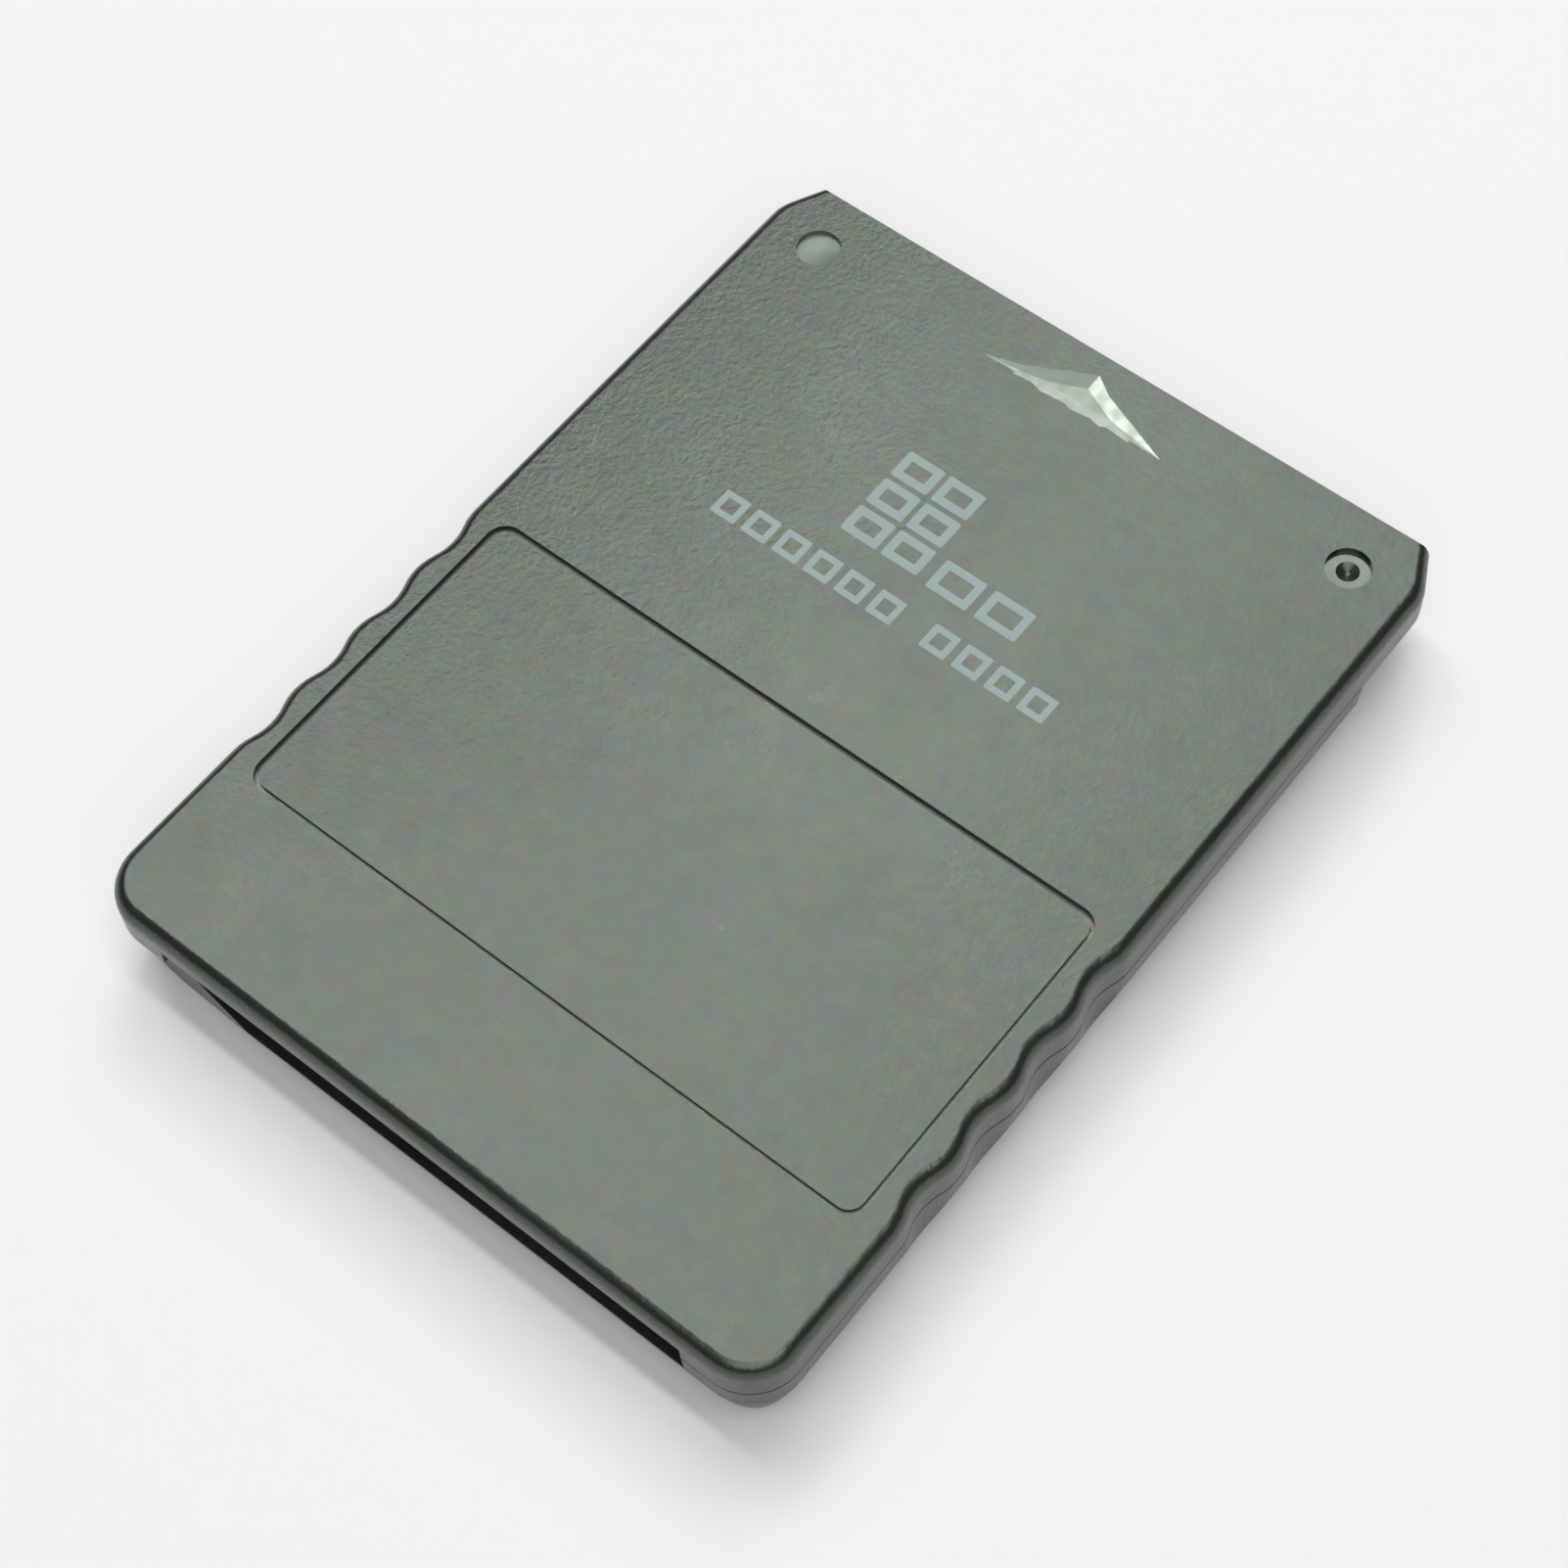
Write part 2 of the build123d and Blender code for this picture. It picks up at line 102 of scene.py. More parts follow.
def grained_abs(name, dark, light):
    """ABS from a spark-eroded tool: a dark body under a dull sheen, mottled and broken by fine grain."""
    material = blank_material(name)
    tree = material.node_tree
    place = add(tree, "ShaderNodeTexCoord").outputs["Object"]
    grain = add(tree, "ShaderNodeTexNoise", {"Vector": place},
                {"Scale": 1 / GRAIN, "Detail": 3.0, "Roughness": 0.6})
    flow = add(tree, "ShaderNodeTexNoise", {"Vector": place},
               {"Scale": 1 / (5.0 * MM), "Detail": 3.0, "Roughness": 0.6})
    colour = add(tree, "ShaderNodeMix", {0: flow.outputs["Fac"]},
                 {6: linear(dark), 7: linear(light)}, data_type="RGBA")
    dull = add(tree, "ShaderNodeMapRange", {"Value": flow.outputs["Fac"]},
               {"From Min": 0.3, "From Max": 0.7, "To Min": 0.27, "To Max": 0.32})
    bump = add(tree, "ShaderNodeBump", {"Height": grain.outputs["Fac"]},
               {"Strength": 1.0, "Distance": 0.030 * MM})
    mottle = add(tree, "ShaderNodeTexNoise", {"Vector": place},
                 {"Scale": 1 / (1.1 * MM), "Detail": 3.0, "Roughness": 0.7})
    tint = add(tree, "ShaderNodeMix", {7: mottle.outputs["Color"]}, {0: 0.22, 6: linear(SHEEN)},
               data_type="RGBA", blend_type="LINEAR_LIGHT")
    surface = add(tree, "ShaderNodeBsdfPrincipled",
                  {"Base Color": colour.outputs[2], "Roughness": dull.outputs["Result"],
                   "Normal": bump.outputs["Normal"], "Specular Tint": tint.outputs[2]},
                  {"IOR": ABS_IOR})
    add(tree, "ShaderNodeOutputMaterial", {"Surface": surface.outputs["BSDF"]})
    return material


def put(name, data):
    """A new object in the scene."""
    thing = bpy.data.objects.new(name, data)
    bpy.context.scene.collection.objects.link(thing)
    return thing


def moulded_copy(node, name, finish, crease_heights):
    """A merged copy of a CAD node, with smooth curves and crisp creases."""
    work = bmesh.new()
    work.from_mesh(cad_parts[node].data)
    bmesh.ops.remove_doubles(work, verts=work.verts, dist=MERGE_REACH)
    mesh = bpy.data.meshes.new(name)
    work.to_mesh(mesh)
    work.free()
    if "custom_normal" in mesh.attributes:
        mesh.attributes.remove(mesh.attributes["custom_normal"])
    mesh.materials.clear()
    mesh.materials.append(finish)
    mesh.shade_smooth()
    mesh.set_sharp_from_angle(angle=CREASE_ANGLE)
    for edge in mesh.edges:
        heights = [mesh.vertices[v].co.z for v in edge.vertices]
        if any(max(abs(z - crease) for z in heights) < CREASE_REACH for crease in crease_heights):
            edge.use_edge_sharp = True
    return put(name, mesh)


def settle(piece):
    """Turns a piece's live modifiers into its own plain mesh."""
    graph = bpy.context.evaluated_depsgraph_get()
    mesh = bpy.data.meshes.new_from_object(piece.evaluated_get(graph), preserve_all_data_layers=True,
                                           depsgraph=graph)
    piece.modifiers.clear()
    piece.data = mesh


def level_flats(piece):
    """Keeps level faces flat to the eye: where a curve runs into one, the curve starts upright."""
    weighted = piece.modifiers.new("flats", "WEIGHTED_NORMAL")
    weighted.keep_sharp = True
    settle(piece)
    mesh = piece.data
    bent = [Vector(corner.vector) for corner in mesh.corner_normals]
    upright = {}
    for face in mesh.polygons:
        if abs(face.normal.z) > LEVEL:
            for corner in face.loop_indices:
                meeting = upright.setdefault(mesh.loops[corner].vertex_index, [])
                meeting.append((bent[corner], Vector(face.normal)))
    normals = list(bent)
    for corner, loop in enumerate(mesh.loops):
        for shared, up in upright.get(loop.vertex_index, ()):
            if (shared - bent[corner]).length < SAME_NORMAL:
                normals[corner] = up
    mesh.normals_split_custom_set(normals)


case_abs = grained_abs("abs_charcoal_spark_grained", "1f211f", "262826")
back = moulded_copy("back_shell", "back_moulding", case_abs, FOOT_CREASES)
level_flats(back)
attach(back, "root")
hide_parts("back_shell")


# Circuit board
# Glass-epoxy laminate with copper tracks under green solder mask, sawn from a larger sheet. It drops over
# two pins of the back shell, and the front shell holds it down.

TRACK_PITCH = 0.8 * MM
TRACK_RUN = 6.0 * MM
WAVE_TURN = 2 * math.pi / 20           # scale at which the wave texture repeats once in a metre


def masked_laminate(name, mask, track, core):
    """Green solder mask: glossy, raised a little over tracks, with straw-coloured glass at sawn edges."""
    material = blank_material(name)
    tree = material.node_tree
    place = add(tree, "ShaderNodeTexCoord").outputs["Object"]
    tracks = add(tree, "ShaderNodeTexWave", {"Vector": place},
                 {"Scale": WAVE_TURN / TRACK_PITCH}, bands_direction="X")
    runs = add(tree, "ShaderNodeTexVoronoi", {"Vector": place}, {"Scale": 1 / TRACK_RUN},
               distance="MANHATTAN")
    kept = add(tree, "ShaderNodeMath", {0: runs.outputs["Distance"]}, {1: 0.55}, operation="LESS_THAN")
    line = add(tree, "ShaderNodeMapRange", {"Value": tracks.outputs["Fac"]},
               {"From Min": 0.6, "From Max": 0.75})
    copper = add(tree, "ShaderNodeMath", {0: line.outputs["Result"], 1: kept.outputs["Value"]},
                 operation="MULTIPLY")
    green = add(tree, "ShaderNodeMix", {0: copper.outputs["Value"]},
                {6: linear(mask), 7: linear(track)}, data_type="RGBA")
    facing = add(tree, "ShaderNodeSeparateXYZ",
                 {"Vector": add(tree, "ShaderNodeNewGeometry").outputs["Normal"]})
    upward = add(tree, "ShaderNodeMath", {0: facing.outputs["Z"]}, operation="ABSOLUTE")
    sawn = add(tree, "ShaderNodeMath", {0: upward.outputs["Value"]}, {1: 0.5}, operation="LESS_THAN")
    colour = add(tree, "ShaderNodeMix", {0: sawn.outputs["Value"], 6: green.outputs[2]},
                 {7: linear(core)}, data_type="RGBA")
    dull = add(tree, "ShaderNodeMapRange", {"Value": sawn.outputs["Value"]},
               {"To Min": 0.28, "To Max": 0.75})
    bump = add(tree, "ShaderNodeBump", {"Height": copper.outputs["Value"]}, {"Distance": 0.03 * MM})
    surface = add(tree, "ShaderNodeBsdfPrincipled",
                  {"Base Color": colour.outputs[2], "Roughness": dull.outputs["Result"],
                   "Normal": bump.outputs["Normal"]}, {"IOR": 1.55})
    add(tree, "ShaderNodeOutputMaterial", {"Surface": surface.outputs["BSDF"]})
    return material


def paint(nodes, finish):
    """Gives CAD nodes their finish, in the slots that they came with."""
    for name in nodes:
        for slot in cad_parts[name].material_slots:
            slot.material = finish


paint(["circuit_board"], masked_laminate("solder_mask_green_on_laminate", "1f4d30", "2c6b41", "a59a63"))


# Chips and their leads
# Transfer-moulded black epoxy packages, a controller, a flash memory and a small reset part. Their legs are
# stamped from tinned strip and soldered to the underside of the board.

FILLER = 0.12 * MM                     # coarser than real filler, so that it shows


def moulded_epoxy(name, dark, light):
    """Filled epoxy: nearly black and dull, with the fine speckle of its silica filler."""
    material = blank_material(name)
    tree = material.node_tree
    place = add(tree, "ShaderNodeTexCoord").outputs["Object"]
    filler = add(tree, "ShaderNodeTexNoise", {"Vector": place}, {"Scale": 1 / FILLER, "Detail": 2.0})
    colour = add(tree, "ShaderNodeMix", {0: filler.outputs["Fac"]},
                 {6: linear(dark), 7: linear(light)}, data_type="RGBA")
    bump = add(tree, "ShaderNodeBump", {"Height": filler.outputs["Fac"]}, {"Distance": 0.008 * MM})
    surface = add(tree, "ShaderNodeBsdfPrincipled",
                  {"Base Color": colour.outputs[2], "Normal": bump.outputs["Normal"]},
                  {"Roughness": 0.58, "IOR": 1.55})
    add(tree, "ShaderNodeOutputMaterial", {"Surface": surface.outputs["BSDF"]})
    return material


def tinned_strip(name, bright, grey):
    """Reflowed tin on copper strip: a soft white metal, clouded where the solder wetted it."""
    material = blank_material(name)
    tree = material.node_tree
    place = add(tree, "ShaderNodeTexCoord").outputs["Object"]
    cloud = add(tree, "ShaderNodeTexNoise", {"Vector": place}, {"Scale": 1 / (0.4 * MM), "Detail": 3.0})
    colour = add(tree, "ShaderNodeMix", {0: cloud.outputs["Fac"]},
                 {6: linear(bright), 7: linear(grey)}, data_type="RGBA")
    dull = add(tree, "ShaderNodeMapRange", {"Value": cloud.outputs["Fac"]}, {"To Min": 0.25, "To Max": 0.5})
    surface = add(tree, "ShaderNodeBsdfPrincipled",
                  {"Base Color": colour.outputs[2], "Roughness": dull.outputs["Result"]}, {"Metallic": 1.0})
    add(tree, "ShaderNodeOutputMaterial", {"Surface": surface.outputs["BSDF"]})
    return material


paint(["controller_chip", "flash_chip", "reset_chip"],
      moulded_epoxy("epoxy_black_moulded", "161617", "212122"))
paint(["controller_leads", "flash_leads", "reset_leads"], tinned_strip("tin_reflowed", "d4d4cf", "a9a9a5"))


# Capacitors and resistors
# Small ceramic chip parts in two rows beside the reset part, fired and then tinned at both ends. They are
# soldered to the underside of the board by those ends.

CAPACITOR = (2.0 * MM, 3.4 * MM, 0.4 * MM)   # length, pitch and length of an end
RESISTOR = (1.6 * MM, 2.0 * MM, 0.3 * MM)
END_TIN = "c6c6c1"


def chip_ceramic(name, node, sizes, body, body_light, tin):
    """Fired ceramic between two tinned ends: a dull speckled body that turns to soft metal at each end."""
    length, pitch, end = sizes
    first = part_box(node)[0][0] + length / 2
    material = blank_material(name)
    tree = material.node_tree
    place = add(tree, "ShaderNodeTexCoord").outputs["Object"]
    along = add(tree, "ShaderNodeSeparateXYZ", {"Vector": place}).outputs["X"]
    from_first = add(tree, "ShaderNodeMath", {0: along}, {1: first}, operation="SUBTRACT")
    from_middle = add(tree, "ShaderNodeMath", {0: from_first.outputs["Value"]}, {1: pitch / 2},
                      operation="PINGPONG")
    tinned = add(tree, "ShaderNodeMath", {0: from_middle.outputs["Value"]}, {1: length / 2 - end},
                 operation="GREATER_THAN")
    speckle = add(tree, "ShaderNodeTexNoise", {"Vector": place}, {"Scale": 1 / (0.1 * MM), "Detail": 2.0})
    ceramic = add(tree, "ShaderNodeMix", {0: speckle.outputs["Fac"]},
                  {6: linear(body), 7: linear(body_light)}, data_type="RGBA")
    colour = add(tree, "ShaderNodeMix", {0: tinned.outputs["Value"], 6: ceramic.outputs[2]},
                 {7: linear(tin)}, data_type="RGBA")
    surface = add(tree, "ShaderNodeBsdfPrincipled",
                  {"Base Color": colour.outputs[2], "Metallic": tinned.outputs["Value"]},
                  {"Roughness": 0.45})
    add(tree, "ShaderNodeOutputMaterial", {"Surface": surface.outputs["BSDF"]})
    return material


paint(["capacitors"],
      chip_ceramic("ceramic_tan_fired", "capacitors", CAPACITOR, "8d6f52", "a58567", END_TIN))
paint(["resistors"],
      chip_ceramic("ceramic_black_glazed", "resistors", RESISTOR, "141416", "222225", END_TIN))


# Contact block and contacts
# A black carrier of glass-filled plastic, with eight flat strips of gold-plated copper alloy under it. The
# tails are soldered under the board, and the strips show in the mouth of the case.

CONTACTS = [f"contact_{number}" for number in range(1, 9)]
ROLLING_LINE = 0.1 * MM                # coarser than real rolling lines, so that they show


def glass_filled(name, dark, light):
    """Glass-filled plastic: black, with short pale streaks where the fibres lie along the flow."""
    material = blank_material(name)
    tree = material.node_tree
    place = add(tree, "ShaderNodeTexCoord").outputs["Object"]
    along = add(tree, "ShaderNodeMapping", {"Vector": place}, {"Scale": (0.15, 1.0, 1.0)})
    fibre = add(tree, "ShaderNodeTexNoise", {"Vector": along.outputs["Vector"]},
                {"Scale": 1 / (0.2 * MM), "Detail": 3.0, "Roughness": 0.7})
    colour = add(tree, "ShaderNodeMix", {0: fibre.outputs["Fac"]},
                 {6: linear(dark), 7: linear(light)}, data_type="RGBA")
    bump = add(tree, "ShaderNodeBump", {"Height": fibre.outputs["Fac"]}, {"Distance": 0.01 * MM})
    surface = add(tree, "ShaderNodeBsdfPrincipled",
                  {"Base Color": colour.outputs[2], "Normal": bump.outputs["Normal"]},
                  {"Roughness": 0.5, "IOR": 1.58})
    add(tree, "ShaderNodeOutputMaterial", {"Surface": surface.outputs["BSDF"]})
    return material


def plated_gold(name, bright, worn):
    """Thin gold over rolled strip: warm and bright, with fine rolling lines and duller rubbed patches."""
    material = blank_material(name)
    tree = material.node_tree
    place = add(tree, "ShaderNodeTexCoord").outputs["Object"]
    along = add(tree, "ShaderNodeMapping", {"Vector": place}, {"Scale": (1.0, 0.04, 1.0)})
    lines = add(tree, "ShaderNodeTexNoise", {"Vector": along.outputs["Vector"]},
                {"Scale": 1 / ROLLING_LINE, "Detail": 2.0})
    rubbed = add(tree, "ShaderNodeTexNoise", {"Vector": place}, {"Scale": 1 / (1.2 * MM), "Detail": 3.0})
    patch = add(tree, "ShaderNodeMapRange", {"Value": rubbed.outputs["Fac"]},
                {"From Min": 0.45, "From Max": 0.7})
    colour = add(tree, "ShaderNodeMix", {0: patch.outputs["Result"]},
                 {6: linear(bright), 7: linear(worn)}, data_type="RGBA")
    dull = add(tree, "ShaderNodeMapRange", {"Value": lines.outputs["Fac"]},
               {"To Min": 0.18, "To Max": 0.42})
    bump = add(tree, "ShaderNodeBump", {"Height": lines.outputs["Fac"]}, {"Distance": 0.004 * MM})
    surface = add(tree, "ShaderNodeBsdfPrincipled",
                  {"Base Color": colour.outputs[2], "Roughness": dull.outputs["Result"],
                   "Normal": bump.outputs["Normal"]}, {"Metallic": 1.0})
    add(tree, "ShaderNodeOutputMaterial", {"Surface": surface.outputs["BSDF"]})
    return material


paint(["contact_block"], glass_filled("plastic_black_glass_filled", "17181a", "2b2c2e"))
paint(CONTACTS, plated_gold("gold_plated_rolled", "e3b85a", "c79f52"))


# Front shell
# Upper half of the case, the same ABS from its own tool. The sunk arrow and the right dimple come from
# polished pins in that tool and shine. The left dimple is satin, with its floor painted pale as a painted
# highlight, and the floor of the label's line is painted paler than the case, as painted light in its
# shade.

TOP = cad_box[1][2]
INSERTION_END = cad_box[1][1]
ARROW_HALF_WIDTH = 5.75 * MM
ARROW_FROM_END = (1.33 * MM, 4.1 * MM)
DIMPLE_X = 17.3 * MM
DIMPLE_Y = INSERTION_END - 3.58 * MM
DIMPLE_RADIUS = 1.25 * MM
DIMPLE_FLOOR = TOP - 0.32 * MM
LABEL_LINE_FLOOR = TOP - 0.38 * MM
MARK_DEPTH = 1.0 * MM                  # more than the depth of any mark in the face
SKIN = 0.01 * MM                       # how far a face may lie from the height or rim that it belongs to


def polished_abs(name, colour, clear, dull):
    """ABS off a polished pin: the same body with a clear wet-looking shine and faint ripples."""
    material = blank_material(name)
    tree = material.node_tree
    place = add(tree, "ShaderNodeTexCoord").outputs["Object"]
    ripple = add(tree, "ShaderNodeTexNoise", {"Vector": place}, {"Scale": 1 / (0.7 * MM), "Detail": 1.0})
    bump = add(tree, "ShaderNodeBump", {"Height": ripple.outputs["Fac"]},
               {"Strength": 1.0, "Distance": 0.004 * MM})
    shine = add(tree, "ShaderNodeMapRange", {"Value": ripple.outputs["Fac"]},
                {"From Min": 0.3, "From Max": 0.7, "To Min": clear, "To Max": dull})
    surface = add(tree, "ShaderNodeBsdfPrincipled",
                  {"Roughness": shine.outputs["Result"], "Normal": bump.outputs["Normal"]},
                  {"Base Color": linear(colour), "IOR": ABS_IOR, "Specular Tint": linear(SHEEN)})
    add(tree, "ShaderNodeOutputMaterial", {"Surface": surface.outputs["BSDF"]})
    return material


front = moulded_copy("front_shell", "front_moulding", case_abs, (DIMPLE_FLOOR,))
front.data.materials.append(polished_abs("abs_charcoal_polished", "2f302e", 0.11, 0.17))
# painted highlight: the left dimple's satin floor is painted a pale grey-green, standing for the brightness
# of its reflection
front.data.materials.append(polished_abs("abs_charcoal_satin_painted_bright", "627066", 0.30, 0.36))
# painted light: pale greys, far lighter than the case, that lift the shade in the groove of the label's
# line
front.data.materials.append(grained_abs("abs_charcoal_painted_light", "5a5e59", "666a65"))
POLISHED, SATIN, LINE_PAINTED_LIGHT = 1, 2, 3
for face in front.data.polygons:
    x, y, z = face.center
    if z > TOP - SKIN or z < TOP - MARK_DEPTH:
        continue
    from_end = INSERTION_END - y
    from_dimple = math.hypot(abs(x) - DIMPLE_X, y - DIMPLE_Y)
    if abs(x) < ARROW_HALF_WIDTH and ARROW_FROM_END[0] < from_end < ARROW_FROM_END[1]:
        face.material_index = POLISHED
        face.use_smooth = False
    # the left dimple takes the satin finish with its painted highlight
    elif from_dimple < DIMPLE_RADIUS + SKIN and x < 0:
        face.material_index = SATIN
    elif from_dimple < DIMPLE_RADIUS + SKIN and z > DIMPLE_FLOOR - SKIN:
        face.material_index = POLISHED
    # the floor of the label's line takes the pale finish, painted light over its shade
    elif abs(z - LABEL_LINE_FLOOR) < SKIN and face.normal.z > LEVEL:
        face.material_index = LINE_PAINTED_LIGHT
level_flats(front)
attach(front, "root")
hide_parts("front_shell")


# Pad print
# Pale grey ink on the front shell, laid down by a silicone pad. Rows of plain hollow blocks make a generic
# sign for memory cells.

INK_THICKNESS = 0.006 * MM
OUTER_CORNER_POINTS = 6
INNER_CORNER_POINTS = 4
INNER_CORNER_SHARE = 0.4               # radius inside a block's corner, as a share of the one outside
CELL_ROWS = (
    # count, pitch, width, height, stroke, corner, middle of the first cell
    (2, 2.65, 2.35, 1.82, 0.50, 0.14, (-3.82, 16.08)),
    (2, 2.65, 2.35, 1.82, 0.50, 0.14, (-3.82, 13.94)),
    (2, 2.65, 2.35, 1.82, 0.50, 0.14, (-3.82, 11.80)),
    (2, 3.10, 2.60, 2.00, 0.48, 0.14, (2.00, 11.70)),
    (6, 2.05, 1.60, 1.60, 0.38, 0.11, (-10.30, 8.45)),
    (4, 2.05, 1.60, 1.60, 0.38, 0.11, (3.40, 8.45)),
)


def pad_ink(name, solid, thin):
    """Pad-printed ink: a thin matt film, slightly uneven, so the dark plastic dulls it in places."""
    material = blank_material(name)
    tree = material.node_tree
    place = add(tree, "ShaderNodeTexCoord").outputs["Object"]
    film = add(tree, "ShaderNodeTexNoise", {"Vector": place}, {"Scale": 1 / (0.5 * MM), "Detail": 3.0})
    colour = add(tree, "ShaderNodeMix", {0: film.outputs["Fac"]},
                 {6: linear(solid), 7: linear(thin)}, data_type="RGBA")
    surface = add(tree, "ShaderNodeBsdfPrincipled", {"Base Color": colour.outputs[2]},
                  {"Roughness": 0.5, "IOR": 1.45})
    add(tree, "ShaderNodeOutputMaterial", {"Surface": surface.outputs["BSDF"]})
    return material


def printed_row():
    """A tree that lays a row of hollow rounded blocks, each a closed film of ink."""
    tree = bpy.data.node_groups.new("printed_row", "GeometryNodeTree")
    for name, kind in (("Count", "Int"), ("Pitch", "Float"), ("Width", "Float"), ("Height", "Float"),
                       ("Stroke", "Float"), ("Corner", "Float"), ("Thickness", "Float"),
                       ("Start", "Vector"), ("Ink", "Material")):
        tree.interface.new_socket(name, in_out="INPUT", socket_type=f"NodeSocket{kind}")
    tree.interface.new_socket("Geometry", in_out="OUTPUT", socket_type="NodeSocketGeometry")
    sizes = add(tree, "NodeGroupInput").outputs
    outer = add(tree, "GeometryNodeCurvePrimitiveQuadrilateral",
                {"Width": sizes["Width"], "Height": sizes["Height"]})
    both = add(tree, "ShaderNodeMath", {0: sizes["Stroke"]}, {1: 2.0}, operation="MULTIPLY").outputs[0]
    inner_width = add(tree, "ShaderNodeMath", {0: sizes["Width"], 1: both}, operation="SUBTRACT")
    inner_height = add(tree, "ShaderNodeMath", {0: sizes["Height"], 1: both}, operation="SUBTRACT")
    inner = add(tree, "GeometryNodeCurvePrimitiveQuadrilateral",
                {"Width": inner_width.outputs["Value"], "Height": inner_height.outputs["Value"]})
    outer_round = add(tree, "GeometryNodeFilletCurve",
                      {"Curve": outer.outputs["Curve"], "Radius": sizes["Corner"]},
                      {"Count": OUTER_CORNER_POINTS}, mode="POLY")
    inner_corner = add(tree, "ShaderNodeMath", {0: sizes["Corner"]}, {1: INNER_CORNER_SHARE},
                       operation="MULTIPLY")
    inner_round = add(tree, "GeometryNodeFilletCurve",
                      {"Curve": inner.outputs["Curve"], "Radius": inner_corner.outputs["Value"]},
                      {"Count": INNER_CORNER_POINTS}, mode="POLY")
    edges = add(tree, "GeometryNodeJoinGeometry", {"Geometry": outer_round.outputs["Curve"]})
    tree.links.new(inner_round.outputs["Curve"], edges.inputs["Geometry"])
    film = add(tree, "GeometryNodeFillCurve", {"Curve": edges.outputs["Geometry"]})
    raised = add(tree, "GeometryNodeExtrudeMesh",
                 {"Mesh": film.outputs["Mesh"], "Offset Scale": sizes["Thickness"]}, {"Individual": False})
    under = add(tree, "GeometryNodeFlipFaces", {"Mesh": film.outputs["Mesh"]})
    closed = add(tree, "GeometryNodeJoinGeometry", {"Geometry": raised.outputs["Mesh"]})
    tree.links.new(under.outputs["Mesh"], closed.inputs["Geometry"])
    cell = add(tree, "GeometryNodeMergeByDistance", {"Geometry": closed.outputs["Geometry"]},
               {"Distance": INK_THICKNESS / 10})
    step = add(tree, "ShaderNodeCombineXYZ", {"X": sizes["Pitch"]})
    row = add(tree, "GeometryNodeMeshLine",
              {"Count": sizes["Count"], "Start Location": sizes["Start"], "Offset": step.outputs["Vector"]})
    cells = add(tree, "GeometryNodeInstanceOnPoints",
                {"Points": row.outputs["Mesh"], "Instance": cell.outputs["Geometry"]})
    real = add(tree, "GeometryNodeRealizeInstances", {"Geometry": cells.outputs["Instances"]})
    inked = add(tree, "GeometryNodeSetMaterial",
                {"Geometry": real.outputs["Geometry"], "Material": sizes["Ink"]})
    add(tree, "NodeGroupOutput", {"Geometry": inked.outputs["Geometry"]})
    return tree


ink = pad_ink("ink_pale_grey_pad_printed", "98aaa7", "8d9e9b")
row_tree = printed_row()
row_inputs = {item.name: item.identifier for item in row_tree.interface.items_tree
              if item.in_out == "INPUT"}
printed = bmesh.new()
for count, pitch, width, height, stroke, corner, first in CELL_ROWS:
    row = put("row", bpy.data.meshes.new("row"))
    laid = row.modifiers.new("laid", "NODES")
    laid.node_group = row_tree
    values = {"Count": count, "Pitch": pitch * MM, "Width": width * MM, "Height": height * MM,
              "Stroke": stroke * MM, "Corner": corner * MM, "Thickness": INK_THICKNESS,
              "Start": (first[0] * MM, first[1] * MM, TOP), "Ink": ink}
    for socket, value in values.items():
        laid[row_inputs[socket]] = value
    settle(row)
    printed.from_mesh(row.data)
    bpy.data.objects.remove(row)
bmesh.ops.recalc_face_normals(printed, faces=printed.faces)
print_mesh = bpy.data.meshes.new("pad_print")
printed.to_mesh(print_mesh)
printed.free()
print_mesh.materials.append(ink)
pad_print = put("pad_print", print_mesh)
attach(pad_print, "root")


# Case screw
# Zinc-plated steel screw with a cross slot in its head, turned on an automatic lathe. It holds the
# halves together from the back.

LATHE_FEED = 0.16 * MM
SCREW_MIDDLE = [(low + high) / 2 for low, high in zip(*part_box("case_screw"))]


def plated_steel(name, bright, grey):
    """Zinc on turned steel: pale blue-grey metal with fine rings left by the lathe tool."""
    material = blank_material(name)
    tree = material.node_tree
    place = add(tree, "ShaderNodeTexCoord").outputs["Object"]
    centred = add(tree, "ShaderNodeMapping", {"Vector": place}, {"Location": [-c for c in SCREW_MIDDLE]})
    rings = add(tree, "ShaderNodeTexWave", {"Vector": centred.outputs["Vector"]},
                {"Scale": WAVE_TURN / LATHE_FEED, "Distortion": 1.0, "Detail": 2.0},
                wave_type="RINGS", rings_direction="Z")
    cloud = add(tree, "ShaderNodeTexNoise", {"Vector": place}, {"Scale": 1 / (0.8 * MM), "Detail": 3.0})
    colour = add(tree, "ShaderNodeMix", {0: cloud.outputs["Fac"]},
                 {6: linear(bright), 7: linear(grey)}, data_type="RGBA")
    dull = add(tree, "ShaderNodeMapRange", {"Value": rings.outputs["Fac"]},
               {"To Min": 0.25, "To Max": 0.42})
    bump = add(tree, "ShaderNodeBump", {"Height": rings.outputs["Fac"]}, {"Distance": 0.004 * MM})
    surface = add(tree, "ShaderNodeBsdfPrincipled",
                  {"Base Color": colour.outputs[2], "Roughness": dull.outputs["Result"],
                   "Normal": bump.outputs["Normal"]}, {"Metallic": 1.0})
    add(tree, "ShaderNodeOutputMaterial", {"Surface": surface.outputs["BSDF"]})
    return material


paint(["case_screw"], plated_steel("steel_zinc_plated_turned", "c9ccce", "9ea2a6"))


# Crumbs and a painted glint
# A rusty bit of dirt caught in the corner of the line round the label, and a pale fleck in that line beside
# the right side, which is a painted highlight standing for a glint on the line's edge.

